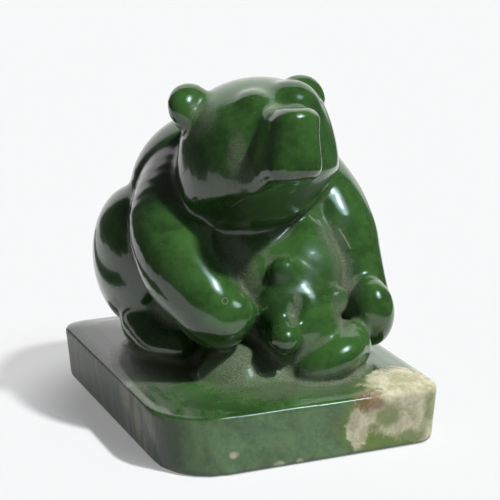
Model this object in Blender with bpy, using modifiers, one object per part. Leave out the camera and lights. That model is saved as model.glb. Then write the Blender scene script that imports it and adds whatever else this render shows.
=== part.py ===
"""Bear and cub, carved from one block of dark jade on a squared slab of the same stone.

Frame: +Z up, the bear faces -Y, origin on the ground at the middle of the slab.
The design numbers are millimetres; the finished solid is scaled to metres at the end.
"""
import bpy
import bmesh
from math import radians, sin, cos
from mathutils import Matrix, Vector

# ---------------------------------------------------------------- driving sizes, mm
SLAB_WIDTH = 75.0            # along X, at the ground
SLAB_DEPTH = 90.0            # along Y, at the ground
SLAB_EDGE_HEIGHT = 15.2      # height of the slab's upper edge
SLAB_CROWN = 2.1             # how much the slab's top swells above that edge
SLAB_FLARE = 1.035           # the top is a little wider than the ground outline
SLAB_NEAR_CORNER = 15.0      # the worn-off corner at -X -Y
SLAB_CORNER = 5.5            # the other corners

HEAD_X = 1.0                 # the head's middle plane
EGG = ((2.0, -5.5, 65), (22.2, 22.0, 36))       # the head is an egg
CROWN = ((3.0, -5, 66.6), (27, 27, 27))         # with a flattish crown
THROAT_LEAN = 42.0           # degrees, the flat underside of the jaw
THROAT_TOUCH = (0, -22.5, 64.0)
# the muzzle: x of its right and left corners, y, z
MUZZLE = {'front top': (-4.6, 7.6, -34.8, 91.6), 'front foot': (-8.8, 7.8, -38.6, 74.2),
          'back top': (-4.0, 7.5, -14, 89), 'back foot': (-12.0, 9.5, -14, 62)}
MUZZLE_ROUND = 5.6           # its two upright front edges
MUZZLE_TURN = 2.8            # its other edges
BROWS = (((-2.9, -14.2, 88.0), (6.6, 6.8, 6.6)), ((8.2, -12.5, 86.0), (8.2, 7.8, 7.6)))
# ridges from the brows to the nose, and the furrows between the masses of the face
RIGHT_RIDGE = ((-1.6, -13, 89.6, 4.0), (-1.2, -21, 88.2, 4.4), (-0.8, -30, 87.6, 4.0))
LEFT_RIDGE = ((7.0, -14, 86.6, 4.4), (6.0, -21, 86.2, 4.4), (4.8, -30, 87.0, 4.0))
FOREHEAD_GROOVE = ((3.0, -9, 98, 3.6), (3.2, -17, 96.4, 4.2), (2.8, -24, 94.6, 3.6), (2.6, -30, 94.2, 2.6))
CHEEK_HOLLOW = ((-6.2, -32, 90, 2.8), (-8.6, -30.5, 84, 4.6), (-11.0, -30.5, 77, 5.0), (-13.2, -31.5, 71.5, 3.0))

VOXEL = 1.0                  # grain of the blending between the masses
FACETS = 8600                # triangles kept on the figure

# masses: (centre), (radii)
TORSO = ((0, 12, 42), (26, 26, 34))
HUMP = ((0, 19, 58), (25, 20, 23))
RIGHT_SHOULDER = ((-6.5, 18, 63.5), (13.5, 14, 15))
LEFT_SHOULDER = ((22, 14.5, 57), (13.8, 14, 14.5))
RUMP = ((1, 22, 34), (28, 22, 24))
BELLY = ((7, 0, 33), (25, 16, 21))
FLANK = ((25, -7, 32), (10, 9, 14))
COLLAR = ((15, 0, 50), (10, 9, 12))
LAP = ((-5, -9, 13), (14, 16, 11))
LAP_RIGHT = ((-9.5, -19, 13.5), (12.5, 11.5, 12))
LAP_LEFT = ((0, -18, 12), (15, 13, 10.5))

# limbs: stations (x, y, z, radius) from the shoulder or hip to the paw
RIGHT_ARM = ((-5, 20, 66.5, 12), (-10.5, 14.0, 62.3, 12.8), (-18.6, 3.4, 53.6, 12.6),
             (-21.2, -8, 45.9, 11.3), (-18.0, -16.6, 38.6, 10.2), (-15.6, -20.3, 34.4, 8.8),
             (-12.8, -22.3, 35.2, 6.8))
LEFT_ARM = ((23.5, 14, 60, 13), (25.2, 7.5, 56.0, 13.2), (27.0, 2.5, 48.6, 12.2), (28.6, -1.8, 41.5, 11.4),
            (29.8, -7.5, 36, 9.8), (30.8, -12, 31, 8.2))
LEFT_PAW = ((30.1, -18, 29), (6.6, 7.5, 9.6))
RIGHT_HAUNCH = ((-22.5, 21, 40.5), (12.7, 18, 20.5))
RIGHT_FOOT = ((-23.2, 12, 24.0, 8.2), (-23.2, 4, 20.2, 6), (-20.0, -3, 20.5, 4.8))
LEFT_HAUNCH = ((22, 20, 35), (13.5, 18, 20))
LEFT_FOOT = ((26.5, 14, 23, 8), (28, 5, 20.5, 6), (28, -2, 20, 5))


# ---------------------------------------------------------------- tools
def only(obj):
    bpy.ops.object.select_all(action='DESELECT')
    obj.select_set(True)
    bpy.context.view_layer.objects.active = obj


def apply_modifier(obj, kind, **settings):
    only(obj)
    mod = obj.modifiers.new(kind.title(), kind)
    for key, value in settings.items():
        setattr(mod, key, value)
    bpy.ops.object.modifier_apply(modifier=mod.name)


def ball(centre, radii, turn=(0, 0, 0), segments=40):
    """An ellipsoid, turned by degrees about X, Y and Z."""
    bpy.ops.object.select_all(action='DESELECT')
    bpy.ops.mesh.primitive_uv_sphere_add(segments=segments, ring_count=segments // 2, radius=1,
                                         location=centre, rotation=[radians(t) for t in turn])
    obj = bpy.context.object
    obj.scale = radii
    bpy.ops.object.transform_apply(location=True, rotation=True, scale=True)
    return obj


def smooth_path(stations, steps=5):
    """Catmull-Rom points through the stations, radius included."""
    p = [Vector(s) for s in stations]
    p = [2 * p[0] - p[1]] + p + [2 * p[-1] - p[-2]]
    points = []
    for i in range(1, len(p) - 2):
        a, b, c, d = p[i - 1:i + 3]
        for k in range(steps):
            t = k / steps
            points.append(0.5 * (2 * b + (c - a) * t + (2 * a - 5 * b + 4 * c - d) * t * t
                                 + (3 * b - 3 * c + d - a) * t ** 3))
    return points + [p[-2]]


def limb(stations):
    """A row of balls, close enough to blend into one tapering limb."""
    return join([ball(q[:3], (q[3],) * 3, segments=24) for q in smooth_path(stations)])


def join(parts):
    bpy.ops.object.select_all(action='DESELECT')
    for part in parts:
        part.select_set(True)
    bpy.context.view_layer.objects.active = parts[0]
    if len(parts) > 1:
        bpy.ops.object.join()
    return parts[0]


def blend(parts, voxel, rounds):
    """Join overlapping masses into one skin and soften the seams between them."""
    obj = join(parts)
    apply_modifier(obj, 'REMESH', mode='VOXEL', voxel_size=voxel)
    if rounds:
        apply_modifier(obj, 'SMOOTH', factor=0.5, iterations=rounds)
    return obj


def carve(obj, tool, operation='DIFFERENCE'):
    apply_modifier(obj, 'BOOLEAN', operation=operation, solver='EXACT', object=tool)
    bpy.data.objects.remove(tool)
    return obj


def outer_shell(obj):
    """Keep the outside and drop any pocket that the overlapping masses closed off."""
    bm = bmesh.new()
    bm.from_mesh(obj.data)
    unseen, shells = set(bm.verts), []
    while unseen:
        stack, shell = [unseen.pop()], []
        while stack:
            v = stack.pop()
            shell.append(v)
            for e in v.link_edges:
                w = e.other_vert(v)
                if w in unseen:
                    unseen.remove(w)
                    stack.append(w)
        shells.append(shell)
    shells.sort(key=len)
    for shell in shells[:-1]:
        bmesh.ops.delete(bm, geom=shell, context='VERTS')
    bm.to_mesh(obj.data)
    bm.free()
    return obj


# ---------------------------------------------------------------- the slab
def slab():
    bpy.ops.object.select_all(action='DESELECT')
    bpy.ops.mesh.primitive_cube_add(size=1, location=(0, 0, SLAB_EDGE_HEIGHT / 2))
    obj = bpy.context.object
    obj.scale = (SLAB_WIDTH, SLAB_DEPTH, SLAB_EDGE_HEIGHT)
    bpy.ops.object.transform_apply(location=True, rotation=True, scale=True)
    for v in obj.data.vertices:
        if v.co.z > 1:
            v.co.x *= SLAB_FLARE
            if v.co.y > 0:
                v.co.y += 0.6
            else:                        # the front face leans back on the -X side
                v.co.y += 2.6 if v.co.x < 0 else -0.3
    weight = obj.data.attributes.new('bevel_weight_edge', 'FLOAT', 'EDGE')
    for e in obj.data.edges:
        a, b = (obj.data.vertices[i].co for i in e.vertices)
        if abs(a.z - b.z) > 5:
            near = a.x < 0 and a.y < 0
            weight.data[e.index].value = 1.0 if near else SLAB_CORNER / SLAB_NEAR_CORNER
    apply_modifier(obj, 'BEVEL', width=SLAB_NEAR_CORNER, segments=6, limit_method='WEIGHT')
    # the top swells in three shallow steps
    bpy.ops.object.mode_set(mode='EDIT')
    bpy.ops.mesh.select_mode(type='FACE')
    bm = bmesh.from_edit_mesh(obj.data)
    for f in bm.faces:
        f.select = f.normal.z > 0.9
    bmesh.update_edit_mesh(obj.data)
    for shrink, share in ((0.93, 0.43), (0.88, 0.36), (0.82, 0.21)):
        bpy.ops.mesh.extrude_region_move(TRANSFORM_OT_translate={"value": (0, 0, SLAB_CROWN * share)})
        bpy.ops.transform.resize(value=(shrink, shrink, 1), center_override=(0, 0, 0))
    bpy.ops.object.mode_set(mode='OBJECT')
    apply_modifier(obj, 'BEVEL', width=0.8, segments=2, limit_method='ANGLE', angle_limit=radians(50))
    return obj


# ---------------------------------------------------------------- the bear's head
def muzzle():
    """A tall block with rounded edges; its face leans back and its foot runs into the throat."""
    bpy.ops.object.select_all(action='DESELECT')
    bpy.ops.mesh.primitive_cube_add(size=2)
    obj = bpy.context.object
    for v in obj.data.vertices:
        right, left, y, z = MUZZLE[('back ' if v.co.y > 0 else 'front ') + ('top' if v.co.z > 0 else 'foot')]
        v.co = (left if v.co.x > 0 else right, y, z)
    weight = obj.data.attributes.new('bevel_weight_edge', 'FLOAT', 'EDGE')
    for e in obj.data.edges:
        a, b = (obj.data.vertices[i].co for i in e.vertices)
        if a.y < -20 and b.y < -20 and abs(a.z - b.z) > 5:
            weight.data[e.index].value = 1.0
    apply_modifier(obj, 'BEVEL', width=MUZZLE_ROUND, segments=8, limit_method='WEIGHT')
    apply_modifier(obj, 'BEVEL', width=MUZZLE_TURN, segments=5, limit_method='ANGLE', angle_limit=radians(40))
    return obj


def head():
    obj = ball(*EGG, segments=96)
    carve(obj, ball(*CROWN, segments=120), 'INTERSECT')
    # a very large ball pares the underside of the jaw almost flat
    big = 80.0
    out = Vector((0, -cos(radians(THROAT_LEAN)), -sin(radians(THROAT_LEAN))))
    carve(obj, ball(Vector(THROAT_TOUCH) - out * big, (big * 0.58, big, big), segments=120), 'INTERSECT')
    brows = [ball(*b) for b in BROWS] + [limb(RIGHT_RIDGE), limb(LEFT_RIDGE)]
    obj = blend([obj, muzzle()] + brows, VOXEL, 2)
    for furrow in (FOREHEAD_GROOVE, CHEEK_HOLLOW):
        carve(obj, blend([limb(furrow)], VOXEL * 0.6, 0))
    return blend([obj], VOXEL, 8)


def ear(side):
    """A round lobe leaning back, scooped on the side of the head."""
    if side < 0:
        lobe = ball((HEAD_X - 16.4, -1.6, 86.4), (7.2, 4.6, 7.0), turn=(-26, 0, 20))
        root = ball((HEAD_X - 13.5, -1.5, 82), (7, 4.5, 6.5), turn=(-14, 0, 20))
        obj = blend([lobe, root], VOXEL * 0.6, 3)
        carve(obj, ball((HEAD_X - 12.2, -8.3, 85.5), (3.6, 4.4, 8.5), turn=(0, -40, 0)))
    else:
        obj = ball((HEAD_X + 15.2, -1.5, 86.2), (6.9, 4.2, 7.0), turn=(-20, 0, -20))
        carve(obj, ball((HEAD_X + 12, -8.1, 84.2), (3.6, 4.2, 8.5), turn=(0, 42, 0)))
    return blend([obj], VOXEL * 0.6, 6)


# ---------------------------------------------------------------- the cub
def cub():
    trunk = blend([ball((8.9, -9, 34.7), (15, 14, 17.5)), ball((-0.6, -12, 33.4), (8, 9, 14.5)),
                   limb(((14.4, -8, 49.7, 6.5), (12.3, -12, 41.4, 11)))], VOXEL * 0.8, 10)
    face = blend([ball((7.6, -18.2, 28.5), (11.6, 12.6, 17.3)),
                  ball((0.9, -21.8, 33.0), (6.2, 7.2, 9.5)),                        # cheeks
                  ball((10.4, -22.0, 28.6), (7.2, 8.8, 9)),
                  limb(((4.6, -24.2, 35, 4), (1.6, -27.2, 31.8, 3.7), (-1, -29.8, 28.9, 4.4)))],
                 VOXEL * 0.6, 6)
    carve(face, blend([limb(((5.8, -28.9, 40.0, 1.7), (4.0, -29.4, 37.6, 2.1), (2.5, -29.8, 35.6, 2.0)))],
                      VOXEL * 0.5, 0))
    face = blend([face], VOXEL * 0.6, 6)
    ears = [ball((3.4, -20.8, 45.0), (4.0, 3.4, 4.4), turn=(0, 20, 0)),
            ball((17.6, -23, 35.2), (4, 2.6, 4.2), turn=(0, 20, 25))]
    foot = blend([ball((12.8, -28, 21.4), (11.5, 8.5, 6.6), turn=(0, -24, 0)),
                  ball((19.8, -25, 23.1), (6.6, 7.5, 7))], VOXEL * 0.7, 10)
    return [trunk, face, foot] + ears


# ---------------------------------------------------------------- the figure
def figure():
    masses = [TORSO, HUMP, RIGHT_SHOULDER, LEFT_SHOULDER, RUMP, BELLY, FLANK, COLLAR, LAP, LAP_RIGHT, LAP_LEFT]
    body = blend([ball(*m) for m in masses], VOXEL, 12)
    right_leg = blend([ball(*RIGHT_HAUNCH), limb(RIGHT_FOOT)], VOXEL, 10)
    parts = [body, right_leg, head(), ear(-1), ear(1),
             limb(RIGHT_ARM), limb(LEFT_ARM), ball(*LEFT_PAW), ball(*LEFT_HAUNCH), limb(LEFT_FOOT)]
    obj = blend(parts + cub(), VOXEL, 3)
    apply_modifier(obj, 'TRIANGULATE')
    apply_modifier(obj, 'DECIMATE', ratio=FACETS / len(obj.data.polygons))
    return obj


def jade():
    mat = bpy.data.materials.new('dark_jade')
    mat.use_nodes = True
    shader = mat.node_tree.nodes['Principled BSDF']
    shader.inputs['Base Color'].default_value = (0.035, 0.12, 0.025, 1)
    shader.inputs['Roughness'].default_value = 0.12
    shader.inputs['Metallic'].default_value = 0.0
    return mat


# ---------------------------------------------------------------- build
for old in list(bpy.data.objects):
    bpy.data.objects.remove(old)

carving = outer_shell(carve(slab(), figure(), 'UNION'))
carving.name = carving.data.name = 'bear_and_cub_carving'
apply_modifier(carving, 'TRIANGULATE')
carving.data.transform(Matrix.Scale(0.001, 4))
carving.data.materials.clear()
carving.data.materials.append(jade())

home = bpy.data.collections.new('jade_bear_and_cub')
bpy.context.scene.collection.children.link(home)
for old_home in list(carving.users_collection):
    old_home.objects.unlink(carving)
home.objects.link(carving)
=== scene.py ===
# %% [markdown]
# # A bear and its cub, carved in dark jade
#
# The real thing is one block of nephrite, cut to a squared slab with a seated
# bear and a cub in its lap, and polished until it shines. It could be sculpted
# with brushes, but strokes are hard to repeat or to explain. So we work the way
# a carver does: block out round masses, melt them into one skin, cut the
# hollows, and build the finish of the stone from noise.
#
# First we load the plain CAD carving. It is the fixed frame: our mesh has to
# stand exactly where it stands, and at the same size.

# %% Load the fixed frame
from math import cos, radians, sin

import bmesh
import bpy
import numpy as np
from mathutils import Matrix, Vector


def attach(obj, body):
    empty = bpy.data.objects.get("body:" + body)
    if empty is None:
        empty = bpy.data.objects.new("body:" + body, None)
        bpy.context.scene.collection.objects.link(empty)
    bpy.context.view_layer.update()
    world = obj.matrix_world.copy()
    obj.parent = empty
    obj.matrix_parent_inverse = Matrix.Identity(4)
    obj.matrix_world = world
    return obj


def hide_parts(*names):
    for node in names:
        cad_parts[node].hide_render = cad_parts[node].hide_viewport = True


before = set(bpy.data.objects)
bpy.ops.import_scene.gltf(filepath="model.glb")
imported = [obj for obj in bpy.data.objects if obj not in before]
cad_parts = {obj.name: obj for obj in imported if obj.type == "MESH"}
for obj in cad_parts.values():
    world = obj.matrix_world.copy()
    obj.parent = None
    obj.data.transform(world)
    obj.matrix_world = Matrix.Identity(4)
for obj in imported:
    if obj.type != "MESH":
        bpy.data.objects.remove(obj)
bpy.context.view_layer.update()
CAD_NODE = "bear_and_cub_carving"
MM = 0.001                      # one millimetre in metres

# %% [markdown]
# ## The carver's tools
#
# Blender's operators act on all that is selected, so small helpers keep the
# selection in order: one selects a single object, one adds a modifier and
# applies it at once, and one joins meshes. We think in millimetres, the numbers
# that a carver would name, and scale down once at the end.

# %% Select, apply, join, measure
def only(obj):
    """Leave one object selected and active."""
    if bpy.context.object and bpy.context.object.mode != 'OBJECT':
        bpy.ops.object.mode_set(mode='OBJECT')
    bpy.ops.object.select_all(action='DESELECT')
    obj.select_set(True)
    bpy.context.view_layer.objects.active = obj


def apply_modifier(obj, kind, **settings):
    """Add one modifier, set it up and make its result the mesh."""
    only(obj)
    mod = obj.modifiers.new(kind.title(), kind)
    for key, value in settings.items():
        setattr(mod, key, value)
    bpy.ops.object.modifier_apply(modifier=mod.name)


def join(parts):
    """Join meshes into the first of them."""
    bpy.ops.object.select_all(action='DESELECT')
    for part in parts:
        part.select_set(True)
    bpy.context.view_layer.objects.active = parts[0]
    if len(parts) > 1:
        bpy.ops.object.join()
    return parts[0]


def show_size(name, obj):
    """Print the width, depth and height of a mesh in its own units."""
    corners = np.array([v.co for v in obj.data.vertices])
    print(name, "size:", np.ptp(corners, axis=0).round(1), "top:", round(float(corners[:, 2].max()), 1))


# %% [markdown]
# ## Round masses
#
# Each swelling of a carved animal is close to a ball or an egg, and a limb is a
# row of balls that shrink towards the paw. A limb could be a tapered tube as
# well, but a row of balls needs only a few stations, closes its own ends, and
# melts cleanly. A smooth curve through the stations keeps kinks out of a bend.

# %% Balls and limbs
def ball(centre, radii, turn=(0, 0, 0), segments=40):
    """An ellipsoid, turned by degrees about X, Y and Z."""
    bpy.ops.object.select_all(action='DESELECT')
    bpy.ops.mesh.primitive_uv_sphere_add(segments=segments, ring_count=segments // 2, radius=1,
                                         location=centre, rotation=[radians(t) for t in turn])
    obj = bpy.context.object
    obj.scale = radii
    bpy.ops.object.transform_apply(location=True, rotation=True, scale=True)
    return obj


def smooth_path(stations, steps=5):
    """Points of a smooth curve through the stations, radius included."""
    p = [Vector(s) for s in stations]
    p = [2 * p[0] - p[1]] + p + [2 * p[-1] - p[-2]]
    points = []
    for i in range(1, len(p) - 2):
        a, b, c, d = p[i - 1:i + 3]
        for k in range(steps):
            t = k / steps
            points.append(0.5 * (2 * b + (c - a) * t + (2 * a - 5 * b + 4 * c - d) * t * t
                                 + (3 * b - 3 * c + d - a) * t ** 3))
    return points + [p[-2]]


def limb(stations):
    """A row of balls, close enough to melt into one tapering limb. A station is x, y, z, radius."""
    return join([ball(q[:3], (q[3],) * 3, segments=24) for q in smooth_path(stations)])


# %% [markdown]
# ## Wax and knife
#
# Stone has no sharp join between an arm and a shoulder. A voxel remesh fuses
# masses that overlap, like warm wax, and a few rounds of smoothing soften the
# seam. A boolean is the knife: it takes a groove away, or it keeps only what
# lies inside another shape.

# %% Melt, cut and pare
GRAIN = 0.8                     # mm, the voxel that the finished carving is made of
FINE = GRAIN * 0.7              # for ears and the hollows that are cut
FINEST = GRAIN * 0.6            # for the thin grooves of the cub's face


def melt(parts, voxel, rounds):
    """Fuse overlapping masses into one skin and soften the seams."""
    obj = join(parts)
    apply_modifier(obj, 'REMESH', mode='VOXEL', voxel_size=voxel)
    if rounds:
        apply_modifier(obj, 'SMOOTH', factor=0.5, iterations=rounds)
    return obj


def cut(obj, tool, operation='DIFFERENCE'):
    """Take a tool out of a mass, or keep what lies inside it with 'INTERSECT'."""
    apply_modifier(obj, 'BOOLEAN', operation=operation, solver='EXACT', object=tool)
    bpy.data.objects.remove(tool)


def pare(obj, touch, out, radius, flat=1.0):
    """Grind one side almost flat with a very large ball that touches the point.

    A flat below 1 squeezes that ball from side to side, so it pares a rounder facet.
    """
    big = ball(Vector(touch) - Vector(out).normalized() * radius,
               (radius * flat, radius, radius), segments=120)
    cut(obj, big, 'INTERSECT')


# %% [markdown]
# ## The slab
#
# The slab is a cube bevelled by weight, because one upright corner is worn away
# much more than the others. Its top swells like a cushion: the top face is
# extruded three times and drawn in a little each time. A subdivided cage would
# swell as well, but it would lose the crisp edge all round.

# %% Cut the slab
SLAB = dict(width=75.0, depth=90.0, edge=15.2, flare=1.035, near_corner=15.0, corner=5.5, arris=0.8)
SLAB_TOP_SHIFT = dict(back=0.6, near_left=2.6, near_right=-0.3)     # towards the back, mm
CROWN = 2.1                     # mm that the top swells above its edge
CROWN_STEPS = ((0.93, 0.43), (0.88, 0.36), (0.82, 0.21))     # drawn in, share of the rise

bpy.ops.object.select_all(action='DESELECT')
bpy.ops.mesh.primitive_cube_add(size=1, location=(0, 0, SLAB['edge'] / 2))
slab = bpy.context.object
slab.scale = (SLAB['width'], SLAB['depth'], SLAB['edge'])
bpy.ops.object.transform_apply(location=True, rotation=True, scale=True)
for v in slab.data.vertices:
    if v.co.z > 1:
        v.co.x *= SLAB['flare']
        near_side = 'near_left' if v.co.x < 0 else 'near_right'
        v.co.y += SLAB_TOP_SHIFT['back' if v.co.y > 0 else near_side]

weight = slab.data.attributes.new('bevel_weight_edge', 'FLOAT', 'EDGE')
for e in slab.data.edges:
    a, b = (slab.data.vertices[i].co for i in e.vertices)
    if abs(a.z - b.z) > 5:
        worn = a.x < 0 and a.y < 0
        weight.data[e.index].value = 1.0 if worn else SLAB['corner'] / SLAB['near_corner']
apply_modifier(slab, 'BEVEL', width=SLAB['near_corner'], segments=6, limit_method='WEIGHT')

# %% [markdown]
# The corners are round now, so the top face can swell. It is found by its
# normal, which is the one thing that sets it apart from all other faces.

# %% Swell the slab's top
bpy.ops.object.mode_set(mode='EDIT')
bpy.ops.mesh.select_mode(type='FACE')
bm = bmesh.from_edit_mesh(slab.data)
for f in bm.faces:
    f.select = f.normal.z > 0.9
bmesh.update_edit_mesh(slab.data)
for drawn_in, share in CROWN_STEPS:
    bpy.ops.mesh.extrude_region_move(TRANSFORM_OT_translate={"value": (0, 0, CROWN * share)})
    bpy.ops.transform.resize(value=(drawn_in, drawn_in, 1), center_override=(0, 0, 0))
bpy.ops.object.mode_set(mode='OBJECT')
apply_modifier(slab, 'BEVEL', width=SLAB['arris'], segments=2, limit_method='ANGLE',
               angle_limit=radians(50))
show_size("slab", slab)

# %% [markdown]
# ## The muzzle
#
# The bear lifts a tall, square muzzle. A cube with eight named corners says
# that best: each corner is moved one by one, then the two upright edges in front
# get a wide round and all the others a narrow one.

# %% Shape the muzzle
MUZZLE = {                      # x of the near and far corners, y, z
    'front top': (-4.6, 7.6, -34.8, 91.6), 'front foot': (-8.8, 7.8, -38.6, 74.2),
    'back top': (-4.0, 7.5, -14, 86), 'back foot': (-12.0, 9.5, -14, 62)}
MUZZLE_ROUND, MUZZLE_EDGE = 5.6, 2.8

bpy.ops.object.select_all(action='DESELECT')
bpy.ops.mesh.primitive_cube_add(size=2)
muzzle = bpy.context.object
for v in muzzle.data.vertices:
    corner = ('back ' if v.co.y > 0 else 'front ') + ('top' if v.co.z > 0 else 'foot')
    near, far, y, z = MUZZLE[corner]
    v.co = (far if v.co.x > 0 else near, y, z)
weight = muzzle.data.attributes.new('bevel_weight_edge', 'FLOAT', 'EDGE')
for e in muzzle.data.edges:
    a, b = (muzzle.data.vertices[i].co for i in e.vertices)
    in_front = a.y < -20 and b.y < -20
    if in_front and abs(a.z - b.z) > 5:
        weight.data[e.index].value = 1.0
apply_modifier(muzzle, 'BEVEL', width=MUZZLE_ROUND, segments=8, limit_method='WEIGHT')
apply_modifier(muzzle, 'BEVEL', width=MUZZLE_EDGE, segments=5, limit_method='ANGLE',
               angle_limit=radians(40))
show_size("muzzle", muzzle)

# %% [markdown]
# ## Brushes for local work
#
# A carver rubs one place with fine paper and grinds another a little lower. Our
# brushes do the same without a hand: a vertex group fades from full strength at
# a point to nothing at a radius, and it holds back a Smooth or Displace modifier.

# %% Rub and swell
def nearness(obj, centre, radius):
    """A vertex group that fades from 1 at the centre to 0 at the radius."""
    group = obj.vertex_groups.new(name="brush")
    centre = Vector(centre)
    for v in obj.data.vertices:
        t = 1 - (v.co - centre).length / radius
        if t > 0:
            group.add((v.index,), t * t * (3 - 2 * t), 'REPLACE')
    return group


def rub(obj, centre, radius, rounds):
    """Smooth the surface around one point, as with fine paper."""
    group = nearness(obj, centre, radius)
    apply_modifier(obj, 'SMOOTH', factor=0.5, iterations=rounds, vertex_group=group.name)
    obj.vertex_groups.clear()


def swell(obj, centre, radius, height):
    """Raise the surface around one point, or grind it down with a negative height."""
    group = nearness(obj, centre, radius)
    apply_modifier(obj, 'DISPLACE', strength=height, mid_level=0, vertex_group=group.name)
    obj.vertex_groups.clear()


# %% [markdown]
# ## The bear's head
#
# The skull is an egg. A wider ball takes its point away, which leaves a
# flattish crown. The underside of the jaw is almost a plane, so it is pared
# with a very large ball: a real plane would leave a hard edge that no polisher
# leaves.

# %% Block out the skull
JAW_LEAN = radians(42)          # how far the facet under the jaw leans back
skull = ball((2.0, -5.5, 65), (22.2, 22.0, 36), segments=96)
cut(skull, ball((3.0, -5, 66.6), (27, 27, 27), segments=120), 'INTERSECT')
pare(skull, (0, -22.5, 64.0), (0, -cos(JAW_LEAN), -sin(JAW_LEAN)), 80, flat=0.58)
show_size("skull", skull)

# %% [markdown]
# Two brows run from the forehead down the bridge of the nose, with a shallow
# groove between them. A deep hollow parts the cheek from the muzzle on the near
# side. Brows are melted on, and groove and hollow are rows of balls cut out.

# %% Add the brows and cut the hollows
brows = [ball((-2.7, -14.2, 86.2), (6.6, 6.8, 6.6)),
         ball((8.2, -12.8, 86.6), (8.2, 7.8, 7.6)),
         limb(((-1.8, -13, 87.4, 4.0), (-1.4, -21, 85.6, 3.8), (-0.6, -30, 87.2, 3.8))),
         limb(((7.0, -14, 86.2, 4.4), (6.0, -21, 84.8, 4.2), (4.8, -30, 86.6, 4.0)))]
FOREHEAD_GROOVE = ((3.0, -9, 98, 3.6), (3.2, -17, 96.4, 4.2), (2.8, -24, 94.6, 3.6), (2.6, -30, 94.2, 2.6))
CHEEK_HOLLOW = ((-8.0, -31.5, 89.5, 2.8), (-11.0, -30.5, 84, 4.6), (-13.4, -30.5, 77, 5.2),
                (-15.3, -31.5, 71.5, 3.4))

head = melt([skull, muzzle] + brows, GRAIN, 3)
for hollow in (FOREHEAD_GROOVE, CHEEK_HOLLOW):
    cut(head, melt([limb(hollow)], FINE, 0))
head = melt([head], GRAIN, 5)
show_size("head", head)

# %% [markdown]
# The knife leaves ridges that polished stone does not have. The cheek swells a
# little below the hollow, and each place around the muzzle is rubbed until the
# light runs over it without a break.

# %% Rub the head smooth
HEAD_RUBS = (                   # centre, radius, rounds
    ((-4.6, -27, 89), 7, 60), ((-6.0, -29, 85), 7, 60), ((-7.2, -30, 81), 7, 60),
    ((-8.4, -30.5, 77), 7, 60), ((-9.6, -31, 73), 7, 60), ((-12.0, -25.5, 76), 8, 30),
    ((-9.0, -31.5, 73.5), 6, 80), ((4, -27.5, 67), 13, 90), ((10, -26, 68), 11, 60),
    ((11, -27, 80), 10, 40), ((11, -26, 66), 12, 60), ((-11, -14, 86), 8, 40),
    ((3, -34, 73), 6, 20))

swell(head, (-9.5, -27, 70.5), 9, 1.2)
for spot, radius, rounds in HEAD_RUBS:
    rub(head, spot, radius, rounds)
print("places rubbed on the head:", len(HEAD_RUBS))

# %% [markdown]
# ## The ears
#
# A round lobe with a scoop cut out of its front. The near ear stands on a
# visible root, and the far one grows straight out of the skull.

# %% Shape the ears
lobe = ball((-15.4, -1.6, 86.4), (7.2, 4.6, 7.0), turn=(-26, 0, 20))
root = ball((-12.5, -1.5, 82), (7, 4.5, 6.5), turn=(-14, 0, 20))
near_ear = melt([lobe, root], FINE, 4)
cut(near_ear, ball((-11.2, -8.3, 85.5), (3.6, 4.4, 8.5), turn=(0, -40, 0)))
near_ear = melt([near_ear], FINE, 10)

far_ear = ball((16.2, -1.5, 86.2), (6.9, 4.2, 7.0), turn=(-20, 0, -20))
cut(far_ear, ball((13.0, -8.1, 84.2), (3.6, 4.2, 8.5), turn=(0, 42, 0)))
far_ear = melt([far_ear], FINE, 10)
show_size("near ear", near_ear)
show_size("far ear", far_ear)

# %% [markdown]
# ## The cub
#
# The cub lies against the belly, head down and turned, its nose just above the
# big paw. Each swelling of the face is its own ball, and two thin grooves set
# the nose off. The face is melted finer than the trunk, because its forms are
# the smallest on the carving.

# %% Shape the cub
EYE_GROOVE = ((6.0, -28.2, 40.4, 1.6), (4.2, -28.9, 37.8, 2.5), (2.5, -29.4, 35.6, 2.6),
              (1.0, -30.6, 34.2, 1.6))
NOSE_GROOVE = ((-5.8, -27, 36.0, 1.4), (-3.6, -30, 34.6, 1.5))

trunk = melt([ball((8.9, -9, 34.7), (15, 14, 17.5)), ball((-0.6, -12, 33.4), (8, 9, 14.5)),
              limb(((14.4, -8, 49.7, 6.5), (12.3, -12, 41.4, 11)))], GRAIN, 10)
brow = ball((7.2, -18.2, 28.5), (11.6, 12.6, 17.3))
pare(brow, (6.2, -26.2, 40.0), (-0.05, -0.8, 0.6), 26)
cub_face = melt([brow, ball((0.9, -20.8, 32.6), (6.2, 7.2, 9.5)),
                 ball((10.4, -22.0, 28.6), (7.2, 8.8, 9)),
                 limb(((4.6, -24.2, 35, 4), (1.6, -27.2, 31.8, 3.7), (-1, -29.8, 28.9, 4.4)))], FINE, 8)
for groove in (EYE_GROOVE, NOSE_GROOVE):
    cut(cub_face, melt([limb(groove)], FINEST, 0))
cub_face = melt([cub_face], FINE, 12)
rub(cub_face, (-2, -25, 38), 7, 80)
rub(cub_face, (3, -25, 42), 6, 60)
show_size("cub's face", cub_face)

# %% [markdown]
# The cub's ears are small buttons, and its foot is a turned egg that lies low
# over the slab, with a round heel at its far end.

# %% The cub's ears and foot
cub_ears = [ball((3.1, -20.4, 44.1), (4.3, 3.8, 4.6), turn=(0, 20, 0)),
            ball((17.6, -23, 35.2), (4, 2.6, 4.2), turn=(0, 20, 25))]
FOOT_GRAIN = GRAIN * 0.8        # between the trunk and the face
cub_foot = melt([ball((12.8, -28, 21.4), (11.5, 8.5, 6.6), turn=(0, -24, 0)),
                 ball((19.8, -25, 23.1), (6.6, 7.5, 7))], FOOT_GRAIN, 6)
cub = [trunk, cub_face, cub_foot] + cub_ears
print("masses of the cub:", len(cub))

# %% [markdown]
# ## The body and the limbs
#
# The trunk of the bear is a heap of eggs for belly, back, shoulders and lap.
# The arms wrap around the cub, so they are rows of balls through a few
# stations. The haunches are big eggs with a foot that runs out along the slab.

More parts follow.
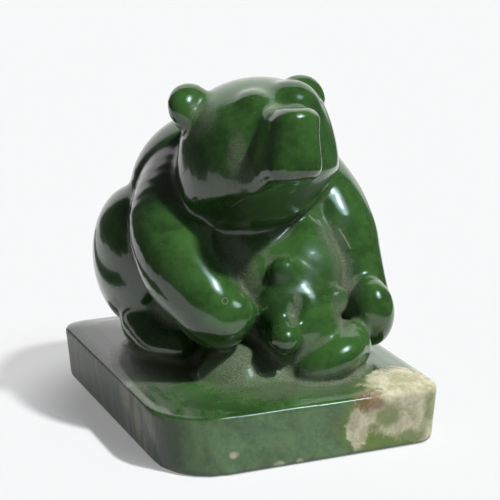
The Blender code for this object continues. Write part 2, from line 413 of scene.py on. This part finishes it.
# %% Shape the body
BODY = (                        # centre, radii
    ((0, 12, 42), (26, 26, 34)), ((0, 19, 58), (25, 20, 23)),
    ((-6.5, 18, 63.5), (13.5, 14, 15)), ((22, 14.5, 57), (13.8, 14, 14.5)),
    ((1, 22, 34), (28, 22, 24)), ((7, 0, 33), (25, 16, 21)),
    ((25, -7, 32), (10, 9, 14)), ((15, 0, 50), (10, 9, 12)), ((-5, -9, 13), (14, 16, 11)),
    ((-9.5, -19, 13.5), (12.5, 11.5, 12)), ((0, -18, 12), (15, 13, 10.5)))
NEAR_ARM = (                    # x, y, z, radius
    (-5, 20, 66.5, 12), (-10.5, 14.0, 62.3, 12.8), (-18.6, 3.4, 53.6, 12.6),
    (-21.2, -8, 45.9, 11.3), (-18.0, -16.6, 38.6, 10.2), (-15.6, -20.3, 34.4, 8.8),
    (-12.8, -22.3, 35.2, 6.8))
FAR_ARM = (
    (23.5, 13.5, 59, 13), (25.6, 6.8, 53.0, 13.4), (27.4, 1.4, 46.6, 12.8),
    (28.6, -2.6, 40.0, 11.4), (29.8, -6.8, 35, 9.6), (30.8, -10.5, 31, 8.2))

body = melt([ball(*mass) for mass in BODY], GRAIN, 12)
near_leg = melt([ball((-22.5, 21, 40.5), (12.7, 18, 20.5)),
                 limb(((-23.2, 12, 24.0, 8.2), (-23.2, 4, 20.2, 6), (-20.0, -3, 20.5, 4.8)))], GRAIN, 12)
far_leg = [ball((22, 20, 35), (13.5, 18, 20)),
           limb(((26.5, 14, 23, 8), (28, 5, 20.5, 6), (28, -2, 20, 5)))]
far_paw = ball((30.1, -18, 29), (6.6, 7.5, 9.6))
show_size("body", body)

# %% [markdown]
# ## One stone
#
# Now everything melts together, the slab last. That leaves a small fillet where
# a carver's wheel can't reach. A few places in the lap are rubbed once more,
# then the mesh comes down from millimetres to its real size.

# %% Melt the whole carving together and bring it to size
LAP_RUBS = ((-5, -22, 20), (-14, -20, 19), (-9, -28, 17))
EAR_RUBS = ((5.5, -22.5, 42.5), (8.5, -22.5, 43.5), (12.5, -24, 40))

figure = melt([body, near_leg, head, near_ear, far_ear, limb(NEAR_ARM), limb(FAR_ARM), far_paw]
              + far_leg + cub, GRAIN, 3)
stone = melt([figure, slab], GRAIN, 2)
for spots, radius, rounds in ((LAP_RUBS, 12, 80), (EAR_RUBS, 5, 60)):
    for spot in spots:
        rub(stone, spot, radius, rounds)
swell(stone, (12.5, -21, 47), 7, -0.5)
apply_modifier(stone, 'TRIANGULATE')
show_size("whole carving", stone)

stone.scale = (MM, MM, MM)
only(stone)
bpy.ops.object.transform_apply(location=True, rotation=True, scale=True)
bpy.ops.object.shade_smooth()
stone.name = stone.data.name = "carved_jade"
print("triangles:", len(stone.data.polygons))

# %% [markdown]
# ## Where the polish stops
#
# A wheel can't reach the bottom of a crease, so the stone stays dull and dusty
# there. Shading could guess at the creases, but a measure on the mesh is the
# same from every side. A heavily smoothed copy of the mesh rises out of a
# hollow, and the height that it rises is the depth of the crease. It is stored
# on each vertex.

# %% Measure the creases
def hollowness(obj, rounds):
    """Millimetres by which a smoothed copy rises above the surface, per vertex."""
    only(obj)
    bpy.ops.object.duplicate()
    copy = bpy.context.object
    apply_modifier(copy, 'SMOOTH', factor=0.5, iterations=rounds)
    count = len(obj.data.vertices)
    here, there, normal = (np.empty(count * 3) for _ in range(3))
    obj.data.vertices.foreach_get('co', here)
    copy.data.vertices.foreach_get('co', there)
    obj.data.vertices.foreach_get('normal', normal)
    bpy.data.objects.remove(copy)
    rise = ((there - here).reshape(-1, 3) * normal.reshape(-1, 3)).sum(axis=1)
    return rise / MM


CREASE_ROUNDS = 60
depth = hollowness(stone, CREASE_ROUNDS)
stone.data.attributes.new("crease_depth", 'FLOAT', 'POINT').data.foreach_set('value', depth)
print("crease depth, mm:", np.percentile(depth, (1, 50, 99)).round(3))

# %% [markdown]
# ## Small helpers for the nodes
#
# A stone is noise on noise, so the same few nodes come again and again. These
# helpers place one, feed it numbers or wires, and hand back its output.

# %% Helpers: place, feed, calculate
def place(tree, kind, **settings):
    """Add one node and set it up."""
    n = tree.nodes.new('ShaderNode' + kind)
    for key, value in settings.items():
        setattr(n, key, value)
    return n


def feed(tree, socket, value):
    """Wire a socket to another one, or give it a plain value."""
    if isinstance(value, bpy.types.NodeSocket):
        tree.links.new(value, socket)
    else:
        socket.default_value = value


def calc(tree, operation, a, b=0.0, clamp=False):
    """One step of arithmetic."""
    n = place(tree, 'Math', operation=operation, use_clamp=clamp)
    feed(tree, n.inputs[0], a)
    feed(tree, n.inputs[1], b)
    return n.outputs[0]


def vector(tree, operation, a, b=(0, 0, 0), out='Vector'):
    """One step of vector arithmetic; out='Value' where the answer is a number."""
    n = place(tree, 'VectorMath', operation=operation)
    feed(tree, n.inputs[0], a)
    feed(tree, n.inputs[1], b)
    return n.outputs[out]


def split(tree, value):
    """The X, Y and Z of a vector."""
    n = place(tree, 'SeparateXYZ')
    feed(tree, n.inputs[0], value)
    return n.outputs


# %% [markdown]
# The next helpers are the painter's: a soft step from one level to another, a
# cloud of noise, and a blend of two colours.

# %% Helpers: grade, speckle, tint
def grade(tree, value, low, high, to_low=0.0, to_high=1.0, ease='SMOOTHSTEP'):
    """A step from one level to another, soft unless ease says otherwise."""
    n = place(tree, 'MapRange', interpolation_type=ease)
    for name, v in (('Value', value), ('From Min', low), ('From Max', high),
                    ('To Min', to_low), ('To Max', to_high)):
        feed(tree, n.inputs[name], v)
    return n.outputs['Result']


def speckle(tree, where, scale, detail=3.0, roughness=0.55, distortion=0.0):
    """A cloud of noise between 0 and 1."""
    n = place(tree, 'TexNoise')
    for name, v in (('Vector', where), ('Scale', scale), ('Detail', detail),
                    ('Roughness', roughness), ('Distortion', distortion)):
        feed(tree, n.inputs[name], v)
    return n.outputs['Fac']


def tint(tree, share, below, above, kind='RGBA'):
    """Blend two colours, or two numbers with kind='FLOAT'."""
    n = place(tree, 'Mix', data_type=kind)
    feed(tree, n.inputs['Factor'], share)
    feed(tree, n.inputs['A'], below)
    feed(tree, n.inputs['B'], above)
    return n.outputs['Result']


# %% [markdown]
# An effect that comes back in several places is a node group with named
# sockets. One helper makes an empty group, and one places it in a material.

# %% Helpers: make a group, use a group
def effect(name, takes, gives):
    """An empty node group with named sockets, and its two ends."""
    group = bpy.data.node_groups.new(name, 'ShaderNodeTree')
    for socket, kind, value in takes:
        new = group.interface.new_socket(socket, in_out='INPUT', socket_type='NodeSocket' + kind)
        if value is not None:
            new.default_value = value
    for socket, kind in gives:
        group.interface.new_socket(socket, in_out='OUTPUT', socket_type='NodeSocket' + kind)
    return group, group.nodes.new('NodeGroupInput').outputs, group.nodes.new('NodeGroupOutput').inputs


def use(tree, group, **values):
    """Place a group; socket names are given with _ for a space."""
    n = place(tree, 'Group', node_tree=group)
    for key, value in values.items():
        feed(tree, n.inputs[key.replace('_', ' ')], value)
    return n.outputs


# %% [markdown]
# ## The stone itself
#
# Nephrite is cloudy: broad soft clouds of light and dark green, finer mottling
# inside them, and a few bright flecks. One group makes the clouds, and it is
# used twice: deep green for the polished figure, grey green for the sides of
# the slab, which were sawn and only rubbed down.

# %% Group: the clouds in the stone
FLECK_COLOUR = (0.20, 0.27, 0.11, 1)
FLECK_SCALE = 1.1               # per mm
BROAD_SHARE, MOTTLE_SHARE = 0.68, 0.32

clouds, ins, outs = effect("stone_clouds",
                           (("Where", 'Vector', None), ("Deep", 'Color', (0.01, 0.03, 0.008, 1)),
                            ("Fresh", 'Color', (0.035, 0.09, 0.02, 1)), ("Cloud Size", 'Float', 14.0)),
                           (("Color", 'Color'), ("Mottle", 'Float')))
per_mm = calc(clouds, 'DIVIDE', 1.0, ins["Cloud Size"])
broad = speckle(clouds, ins["Where"], per_mm, 4.0, 0.6, 0.7)
mottle = speckle(clouds, ins["Where"], calc(clouds, 'MULTIPLY', per_mm, 7.0), 4.0, 0.65, 0.3)
level = calc(clouds, 'ADD', calc(clouds, 'MULTIPLY', broad, BROAD_SHARE),
             calc(clouds, 'MULTIPLY', mottle, MOTTLE_SHARE))
green = tint(clouds, grade(clouds, level, 0.36, 0.64), ins["Deep"], ins["Fresh"])
fleck = speckle(clouds, ins["Where"], FLECK_SCALE, 2.0, 0.6)
green = tint(clouds, grade(clouds, fleck, 0.69, 0.78, 0.0, 0.5), green, FLECK_COLOUR)
feed(clouds, outs["Color"], green)
feed(clouds, outs["Mottle"], mottle)
print("clouds:", len(clouds.nodes), "nodes")

# %% [markdown]
# ## Dust
#
# Dust and grit stay in the creases. The crease depth that we measured is broken
# up with a fine grain, because the dust lies in thousands of tiny pits left by
# the carver's point and never as an even coat.

# %% Group: dust in the creases
DRIFT_SCALE, GRIT_SCALE = 0.22, 2.6     # per mm, broad drifts and fine grit
DRIFT = 0.35                    # mm of crease depth that a drift is worth

dust, ins, outs = effect("crease_dust",
                         (("Where", 'Vector', None), ("Depth", 'Float', 0.0),
                          ("Start", 'Float', 0.1), ("Full", 'Float', 0.5)),
                         (("Mask", 'Float'), ("Grit", 'Float')))
drift = calc(dust, 'SUBTRACT', speckle(dust, ins["Where"], DRIFT_SCALE, 3.0), 0.5)
uneven = calc(dust, 'ADD', ins["Depth"], calc(dust, 'MULTIPLY', drift, DRIFT))
grit = speckle(dust, ins["Where"], GRIT_SCALE, 3.0, 0.75)
feed(dust, outs["Mask"], grade(dust, uneven, ins["Start"], ins["Full"]))
feed(dust, outs["Grit"], grade(dust, grit, 0.40, 0.62))
print("dust:", len(dust.nodes), "nodes")

# %% [markdown]
# ## Ragged patches
#
# Rind, stain and dusty places are all patches with a torn edge. A patch is the
# distance to a centre, stretched by a size, and noise moves the edge in and
# out. It could be painted on by hand, but a measured patch stays on its spot
# however finely the mesh is cut.

# %% Group: one ragged patch
patch, ins, outs = effect("ragged_patch",
                          (("Where", 'Vector', None), ("Centre", 'Vector', (0, 0, 0)),
                           ("Size", 'Vector', (5, 5, 5)), ("Ragged", 'Float', 0.6),
                           ("Torn", 'Float', 0.2), ("Soft", 'Float', 0.25)),
                          (("Mask", 'Float'),))
away = vector(patch, 'DIVIDE', vector(patch, 'SUBTRACT', ins["Where"], ins["Centre"]), ins["Size"])
torn = calc(patch, 'SUBTRACT', speckle(patch, ins["Where"], ins["Torn"], 5.0, 0.65, 0.5), 0.5)
reach = calc(patch, 'ADD', vector(patch, 'LENGTH', away, out='Value'),
             calc(patch, 'MULTIPLY', torn, ins["Ragged"]))
feed(patch, outs["Mask"], grade(patch, reach, calc(patch, 'ADD', 1.0, ins["Soft"]),
                                calc(patch, 'SUBTRACT', 1.0, ins["Soft"])))
print("patch:", len(patch.nodes), "nodes")

# %% [markdown]
# ## Scratches
#
# A scratch is every point close to the line between two ends. The nearest point
# on the line comes from two dot products, and a little noise makes the scratch
# wander and change its width.

# %% Group: a scratch between two points
scratch, ins, outs = effect("scratch_line",
                            (("Where", 'Vector', None), ("From", 'Vector', (0, 0, 0)),
                             ("To", 'Vector', (1, 0, 0)), ("Width", 'Float', 0.2)),
                            (("Mask", 'Float'),))
along = vector(scratch, 'SUBTRACT', ins["To"], ins["From"])
off = vector(scratch, 'SUBTRACT', ins["Where"], ins["From"])
part = calc(scratch, 'DIVIDE', vector(scratch, 'DOT_PRODUCT', off, along, 'Value'),
            vector(scratch, 'DOT_PRODUCT', along, along, 'Value'), clamp=True)
nearest = place(scratch, 'VectorMath', operation='SCALE')
feed(scratch, nearest.inputs[0], along)
feed(scratch, nearest.inputs['Scale'], part)
gap = vector(scratch, 'LENGTH', vector(scratch, 'SUBTRACT', off, nearest.outputs[0]), out='Value')
wander = calc(scratch, 'SUBTRACT', speckle(scratch, ins["Where"], 0.8), 0.5)
gap = calc(scratch, 'ABSOLUTE', calc(scratch, 'ADD', gap, calc(scratch, 'MULTIPLY', wander, 0.5)))
feed(scratch, outs["Mask"], grade(scratch, gap, ins["Width"], 0.0))
print("scratch:", len(scratch.nodes), "nodes")

# %% [markdown]
# ## Start the jade
#
# The material reads Object coordinates, turned into millimetres, and every
# place below is given in them. It also needs the way that a face is turned, and
# the crease depth of each vertex. Three short helpers save repeating the tree.

# %% Start the material
jade = bpy.data.materials.new("polished_dark_jade")
jade.use_nodes = True
tree = jade.node_tree
shader = tree.nodes['Principled BSDF']
lookup = place(tree, 'TexCoord')
mm = place(tree, 'VectorMath', operation='SCALE')
feed(tree, mm.inputs[0], lookup.outputs['Object'])
mm.inputs['Scale'].default_value = 1 / MM
where = mm.outputs[0]
spot_x, _, spot_z = split(tree, where)                       # where a point is, mm
face_x, _, face_z = split(tree, lookup.outputs['Normal'])    # which way it faces
crease = place(tree, 'Attribute', attribute_name="crease_depth").outputs['Fac']


def times(a, b):
    """Multiply two values of the jade."""
    return calc(tree, 'MULTIPLY', a, b)


def higher(a, b):
    """The larger of two masks of the jade."""
    return calc(tree, 'MAXIMUM', a, b)


def blot(centre, size, ragged, torn, soft):
    """The mask of one ragged patch on the jade."""
    return use(tree, patch, Where=where, Centre=centre, Size=size,
               Ragged=ragged, Torn=torn, Soft=soft)["Mask"]


# %% [markdown]
# ## Green stone, sawn sides
#
# The polished figure is deep green. The upright sides of the slab are paler and
# greyer, because a rubbed face scatters light. On the left side the stone is
# streaked from top to bottom, which is noise squeezed along one axis.

# %% Colour: the figure and the sides of the slab
DEEP_GREEN, FRESH_GREEN = (0.020, 0.058, 0.013, 1), (0.046, 0.124, 0.027, 1)
SAWN_DEEP, SAWN_FRESH = (0.055, 0.10, 0.045, 1), (0.12, 0.20, 0.09, 1)
STREAK_DARK, STREAK_PALE = (0.016, 0.024, 0.013, 1), (0.19, 0.19, 0.145, 1)

polished = use(tree, clouds, Where=where, Deep=DEEP_GREEN, Fresh=FRESH_GREEN)
sawn = use(tree, clouds, Where=where, Deep=SAWN_DEEP, Fresh=SAWN_FRESH, Cloud_Size=11.0)
low_down = grade(tree, spot_z, 16.5, 14.2)      # mm, over the slab's edge
upright = grade(tree, calc(tree, 'ABSOLUTE', face_z), 0.75, 0.35)
side = times(low_down, upright)
colour = tint(tree, side, polished["Color"], sawn["Color"])

streaks = speckle(tree, vector(tree, 'MULTIPLY', where, (1.0, 1.0, 0.14)), 0.42, 4.0, 0.6, 0.4)
streak_colour = tint(tree, grade(tree, streaks, 0.42, 0.68), STREAK_DARK, STREAK_PALE)
left_side = times(side, grade(tree, face_x, -0.80, -0.97))
colour = tint(tree, times(left_side, 0.75), colour, streak_colour)
print("green stone:", len(tree.nodes), "nodes")

# %% [markdown]
# The head's shadow on the near shoulder is painted into the colour as one
# broad dark patch: painted shade. On the ledge beside the near leg a pale grey
# sheen is painted in brush strokes that run from front to back: a painted
# reflection of the bright wall at a grazing angle.

# %% Colour: painted shadow on the shoulder, painted sheen on the ledge
PAINTED_SHADOW_COLOUR = (0.007, 0.014, 0.007, 1)
PAINTED_SHEEN_COLOUR = (0.13, 0.14, 0.115, 1)

# Painted shade: the head's cast shadow on the near shoulder, as a dark patch of colour.
painted_shoulder_shadow = blot((-22, 10, 66), (13, 17, 13), 0.5, 0.12, 0.35)
colour = tint(tree, times(painted_shoulder_shadow, 0.75), colour, PAINTED_SHADOW_COLOUR)
# Painted sheen: a pale grey reflection on the ledge, in strokes from front to back.
sheen_strokes = speckle(tree, vector(tree, 'MULTIPLY', where, (1.0, 0.12, 1.0)), 0.5, 4.0, 0.6, 0.2)
ledge = times(grade(tree, spot_z, 17.6, 16.8), grade(tree, face_z, 0.7, 0.95))
ledge = times(ledge, grade(tree, spot_x, -22.0, -33.0))
colour = tint(tree, times(ledge, grade(tree, sheen_strokes, 0.38, 0.66, 0.1, 0.8)), colour, PAINTED_SHEEN_COLOUR)
print("shoulder and ledge:", len(tree.nodes), "nodes")

# %% [markdown]
# Dust fills the creases low on the carving and thins out towards the head,
# where hands keep it clean. The measured depth finds most of it. The pockets
# around the cub, the ledge and the cheek hollow catch more than their depth
# tells, so each has its own patch.

# %% Colour: dust
DUST_COLOUR = (0.27, 0.27, 0.21, 1)
DUSTY_PLACES = (                # centre, size, how much dust
    ((-10, -24, 21), (12, 9, 6), 0.8), ((-9, -14, 43), (6, 8, 9), 0.7),
    ((21, -15, 42), (5, 9, 13), 0.6), ((6, -34, 17.5), (20, 6, 3.2), 0.6),
    ((17, -24, 31), (4, 5, 6), 0.6), ((-28, -4, 17), (11, 15, 3), 0.6),
    ((4.4, -28.5, 38.4), (1.2, 3, 2.6), 0.9), ((2.4, -29, 35.4), (1.3, 3, 2.4), 0.9),
    ((-14.6, -9, 84.5), (3.2, 5, 6), 0.55), ((-11.2, -25, 79.5), (2.6, 5, 11), 0.6))

creases = use(tree, dust, Where=where, Depth=crease, Start=0.1, Full=0.6)
settled = times(creases["Mask"], grade(tree, spot_z, 56.0, 46.0, 0.15, 1.0))
for centre, size, amount in DUSTY_PLACES:
    settled = higher(settled, times(blot(centre, size, 0.9, 0.25, 0.55), amount))
gritty = times(settled, calc(tree, 'ADD', 0.22, times(creases["Grit"], 0.78)))
colour = tint(tree, times(gritty, 0.8), colour, DUST_COLOUR)
print("dusty places:", len(DUSTY_PLACES))

# %% [markdown]
# ## The rind
#
# The block was cut so close to the skin of the boulder that one corner of the
# slab keeps its cream rind, inside a yellow-green rim. Green islands show
# through it, and crumbs of rind turn up along the lower edge and the left side.

# %% Colour: rind, islands and crumbs
RIM_COLOUR = (0.16, 0.22, 0.035, 1)
RIND_DEEP, RIND_PALE = (0.44, 0.41, 0.25, 1), (0.70, 0.66, 0.48, 1)
ISLANDS = (                     # centre, size
    ((22.4, -44.7, 9.7), (3.4, 3, 3.2)), ((35.2, -44.7, 9.6), (2.2, 3, 4.5)),
    ((28.5, -44.7, 2.5), (5, 3, 2.2)))
CRUMBS = (
    ((-21.1, -44.3, 5.4), (1.2, 3, 0.8)), ((-8.7, -44.6, 0.9), (1.6, 3, 0.9)),
    ((-2.9, -44.3, 0.8), (1.0, 3, 0.8)), ((-38.2, -19.4, 8.4), (3, 2.4, 5.2)),
    ((-38.6, -11.1, 11.8), (3, 3.6, 3.4)), ((-37.8, -24, 3.1), (3, 1.2, 2.4)))

rim = blot((25, -45, 9), (16, 14, 9), 1.2, 0.16, 0.35)
colour = tint(tree, times(rim, 0.7), colour, RIM_COLOUR)
rind = higher(blot((30.5, -42, 10), (14.0, 15, 11.0), 1.5, 0.14, 0.12),
              blot((13.5, -45, 7.5), (3.2, 5, 6.5), 1.6, 0.3, 0.15))
for centre, size in ISLANDS:
    rind = calc(tree, 'SUBTRACT', rind, times(blot(centre, size, 1.3, 0.35, 0.4), 0.75), clamp=True)
for centre, size in CRUMBS:
    rind = higher(rind, times(blot(centre, size, 1.2, 0.6, 0.5), 0.55))
rind_noise = speckle(tree, where, 0.33, 6.0, 0.68, 0.2)
colour = tint(tree, rind, colour, tint(tree, grade(tree, rind_noise, 0.36, 0.66), RIND_DEEP, RIND_PALE))
print("islands:", len(ISLANDS), "crumbs:", len(CRUMBS))

# %% [markdown]
# ## Scratches, pits and a rust stain
#
# Three scratches cross the polish. They are measured with the depth of the
# carving pressed flat, so each one follows the curve of the stone under it. A
# pit is a pale ring, and a rusty stain lies at the edge of the rind.

# %% Colour: scratches, pits and stain
SCRATCHES = (                   # from, to, width
    ((-10.9, -19.0, 63.2), (-8.8, -25.2, 66.7), 0.35),
    ((24.3, -9.1, 51.2), (26.7, -12.0, 46.0), 0.3),
    ((-5.7, -15.1, 43.2), (-9.5, -17.5, 46.0), 0.4))
PITS = (                        # centre, radius of the ring
    ((-16.3, -27.0, 40.7), 0.8), ((-15.3, -18.7, 80), 0.5),
    ((-11.5, -25.7, 76.5), 0.6), ((0.9, -34.9, 89.7), 0.5))
MARK_COLOUR = (0.36, 0.36, 0.24, 1)
RUST_COLOUR = (0.20, 0.085, 0.04, 1)
PRESS = 0.1                     # how far the depth is pressed together

marks = 0.0
pressed = vector(tree, 'MULTIPLY', where, (1, PRESS, 1))
for start, end, width in SCRATCHES:
    start, end = [(x, y * PRESS, z) for x, y, z in (start, end)]
    line = use(tree, scratch, Where=pressed, From=start, To=end, Width=width)
    marks = higher(marks, line["Mask"])
for centre, radius in PITS:
    ring = calc(tree, 'SUBTRACT', vector(tree, 'DISTANCE', where, centre, out='Value'), radius)
    marks = higher(marks, times(grade(tree, calc(tree, 'ABSOLUTE', ring), 0.3, 0.0), 0.4))
colour = tint(tree, times(marks, 0.75), colour, MARK_COLOUR)
stain = blot((17.5, -44, 14), (4, 4, 2.4), 1.6, 0.5, 0.4)
colour = tint(tree, times(stain, 0.7), colour, RUST_COLOUR)
feed(tree, shader.inputs['Base Color'], colour)
print("scratches:", len(SCRATCHES), "pits:", len(PITS))

# %% [markdown]
# ## The polish
#
# Jade is glossy in two ways: the stone itself, and a thin wet-looking layer of
# wax, which is the coat. Both go dull where there is dust or rind, on the sawn
# sides, under the jaw, and in a few places that a wheel barely touched. One
# number, dull, drives roughness up and takes the coat away.

# %% Gloss
DULL_PLACES = (                 # centre, size, how dull
    ((3, -24, 64), (15, 11, 8), 0.28), ((3, -23, 43.5), (4, 4, 4), 0.3),
    ((-6, -27, 18), (6, 5, 4), 0.3), ((2, -31, 17), (5, 5, 3), 0.3),
    ((12.5, -21, 47), (6, 6, 9), 0.26))
POLISHED_ROUGHNESS = 0.16

dull = higher(times(settled, 0.38), times(rind, 0.42))
for centre, size, amount in DULL_PLACES:
    dull = higher(dull, times(blot(centre, size, 0.4, 0.3, 0.4), amount))
dull = higher(dull, times(side, 0.28))
rough = calc(tree, 'ADD', POLISHED_ROUGHNESS, dull)
rough = calc(tree, 'ADD', rough, times(polished["Mottle"], 0.06))
feed(tree, shader.inputs['Roughness'], rough)
feed(tree, shader.inputs['Coat Weight'], calc(tree, 'SUBTRACT', 0.6, times(dull, 1.2), clamp=True))
shader.inputs['Coat Roughness'].default_value = 0.04
shader.inputs['IOR'].default_value = 1.55
print("dull places:", len(DULL_PLACES))

# %% [markdown]
# ## Relief
#
# Grit stands up by a tenth of a millimetre, the rind is a little spongy, and a
# scratch is sunk. That is too fine for the mesh, so it is bump.

# %% Bump, and hand the stone its finish
relief = times(times(creases["Grit"], gritty), 0.12)
relief = calc(tree, 'ADD', relief, times(times(rind, speckle(tree, where, 1.4, 4.0)), 0.07))
relief = calc(tree, 'SUBTRACT', relief, times(marks, 0.06))
bump = place(tree, 'Bump')
bump.inputs['Distance'].default_value = MM
bump.inputs['Strength'].default_value = 0.7
feed(tree, bump.inputs['Height'], relief)
feed(tree, shader.inputs['Normal'], bump.outputs['Normal'])
stone.data.materials.clear()
stone.data.materials.append(jade)

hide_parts(CAD_NODE)
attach(stone, "root")
print("jade:", len(tree.nodes), "nodes")

# %% [markdown]
# ## The floor
#
# The carving stands on a sheet of pale paper. Polished stone mirrors the paper
# too, so the sheet has a cut outline that decides where its bright reflection
# ends on the cheeks and flanks. The paper glows, which is painted light: the
# glow lightens the carving's shadow on the floor, more so far from the
# carving, and the paper is darker there by as much, so that the lit paper
# stays one even white. Bounced light sees it dark, which keeps the shaded
# side of the stone deep.

# %% Lay the floor
AZIMUTH = radians(-22.96)       # the way the carving is looked at, from the front
SHEET = ((-0.45, 3), (-0.45, 0.25), (-0.14, 0.25), (-0.09, -0.03), (-0.15, -0.02), (-0.17, 0.245),
         (-0.6, 0.245), (-0.6, -0.17), (-3, -1), (-3, -3), (0.15, -3), (0.15, 0.15), (0.5, 3))
PAPER_NEAR, PAPER_FAR = (0.60, 0.60, 0.60, 1), (0.30, 0.30, 0.30, 1)
GLOW_NEAR, GLOW_FAR = (0.235, 0.235, 0.238, 1), (0.59, 0.59, 0.593, 1)

bpy.ops.object.select_all(action='DESELECT')
bpy.ops.mesh.primitive_circle_add(vertices=len(SHEET), radius=1, fill_type='NGON', location=(0, 0, 0))
floor = bpy.context.object
for v, (x, y) in zip(floor.data.vertices, SHEET):
    v.co = (x, y, 0)
floor.rotation_euler.z = AZIMUTH
floor.name = "studio_floor"

paper = bpy.data.materials.new("pale_paper")
paper.use_nodes = True
sheet = paper.node_tree
surface = sheet.nodes['Principled BSDF']
bounce = place(sheet, 'LightPath').outputs['Is Diffuse Ray']
spread = vector(sheet, 'LENGTH', place(sheet, 'TexCoord').outputs['Object'], out='Value')
afar = grade(sheet, spread, 0.042, 0.072)
feed(sheet, surface.inputs['Base Color'],
     tint(sheet, bounce, tint(sheet, afar, PAPER_NEAR, PAPER_FAR), (0.10, 0.10, 0.10, 1)))
# Painted light: the glow lightens the paper's shadow, more so far from the carving.
feed(sheet, surface.inputs['Emission Color'],
     tint(sheet, bounce, tint(sheet, afar, GLOW_NEAR, GLOW_FAR), (0.02, 0.02, 0.02, 1)))
surface.inputs['Emission Strength'].default_value = 1.0
surface.inputs['Specular IOR Level'].default_value = 0.0
surface.inputs['Roughness'].default_value = 0.9
floor.data.materials.append(paper)
print("corners of the sheet of paper:", len(SHEET))

# %% [markdown]
# ## The camera
#
# A long lens, half a metre away, looks a little down on the carving and stands
# to the side of it. A long lens keeps the slab's edges nearly parallel.

# %% Aim the camera
ELEVATION, DISTANCE, LENS = radians(16.31), 0.4932, 129.6
target = Vector((0.0021, 0.0, 0.045))
back = Vector((sin(AZIMUTH) * cos(ELEVATION), -cos(AZIMUTH) * cos(ELEVATION), sin(ELEVATION)))
bpy.ops.object.camera_add(location=target + back * DISTANCE)
camera = bpy.context.object
camera.rotation_euler = back.to_track_quat('Z', 'Y').to_euler()
camera.data.lens = LENS
camera.data.sensor_width = 36
bpy.context.scene.camera = camera
print("camera at", [round(v, 3) for v in camera.location])

# %% [markdown]
# ## The key light
#
# A sun lamp throws the shadow to the left and behind. It is kept out of
# reflections, because the bright spots on the stone come from a window with
# soft edges, which is painted in the room instead.

# %% Hang the light
towards_light = Vector((0.384, -0.426, 0.819))
bpy.ops.object.light_add(type='SUN', location=towards_light)
key = bpy.context.object
key.name = "window_light"
key.data.energy = 3.7
key.data.angle = radians(4)
key.visible_glossy = False
key.rotation_euler = towards_light.to_track_quat('Z', 'Y').to_euler()
print("light:", key.name, round(key.data.energy, 2))

# %% [markdown]
# ## The room
#
# A polished stone shows its room. A pale wall stands behind the carving, with
# a skirting and a ceiling where it stops, and the side that the carving is seen
# from is dim. A bluish window with a hot core gives the highlights. The camera
# sees one even white, and bounced light a dim grey, so that the greens stay
# rich.

# %% Paint the room
WALL = (-sin(AZIMUTH + radians(2)), cos(AZIMUTH + radians(2)), 0.46)
WINDOW = Vector((0.37, -0.52, 0.77)).normalized()
WALL_LIGHT, DIM_LIGHT = 0.92, 0.05
WHITE, WINDOW_COLOUR = (1, 1, 1, 1), (0.72, 0.93, 1.0, 1)

world = bpy.data.worlds.new("studio_room")
bpy.context.scene.world = world
world.use_nodes = True
air = world.node_tree
way = place(air, 'TexCoord').outputs['Generated']
up = split(air, way)['Z']
wall = grade(air, vector(air, 'DOT_PRODUCT', way, WALL, 'Value'), 0.79, 0.85)
skirting = grade(air, up, -0.08, -0.04, ease='LINEAR')
ceiling = grade(air, up, 0.90, 0.96, 1.0, 0.0, ease='LINEAR')
pale = calc(air, 'MULTIPLY', calc(air, 'MULTIPLY', wall, skirting), ceiling)
pale = calc(air, 'ADD', calc(air, 'MULTIPLY', pale, WALL_LIGHT), DIM_LIGHT)

aim = vector(air, 'DOT_PRODUCT', way, WINDOW, 'Value')
window = grade(air, aim, cos(radians(15)), cos(radians(2)), 0.0, 6.0, ease='SMOOTHERSTEP')
core = grade(air, aim, cos(radians(5)), cos(radians(1.5)), 0.0, 30.0, ease='SMOOTHERSTEP')
lit = calc(air, 'ADD', pale, calc(air, 'ADD', window, core))

ray = place(air, 'LightPath').outputs
strength = tint(air, ray['Is Diffuse Ray'], lit, 0.08, kind='FLOAT')
strength = tint(air, ray['Is Camera Ray'], strength, 0.93, kind='FLOAT')
feed(air, air.nodes['Background'].inputs['Color'], tint(air, window, WHITE, WINDOW_COLOUR))
feed(air, air.nodes['Background'].inputs['Strength'], strength)
bpy.context.scene.view_settings.view_transform = 'Standard'
print("room:", len(air.nodes), "nodes")
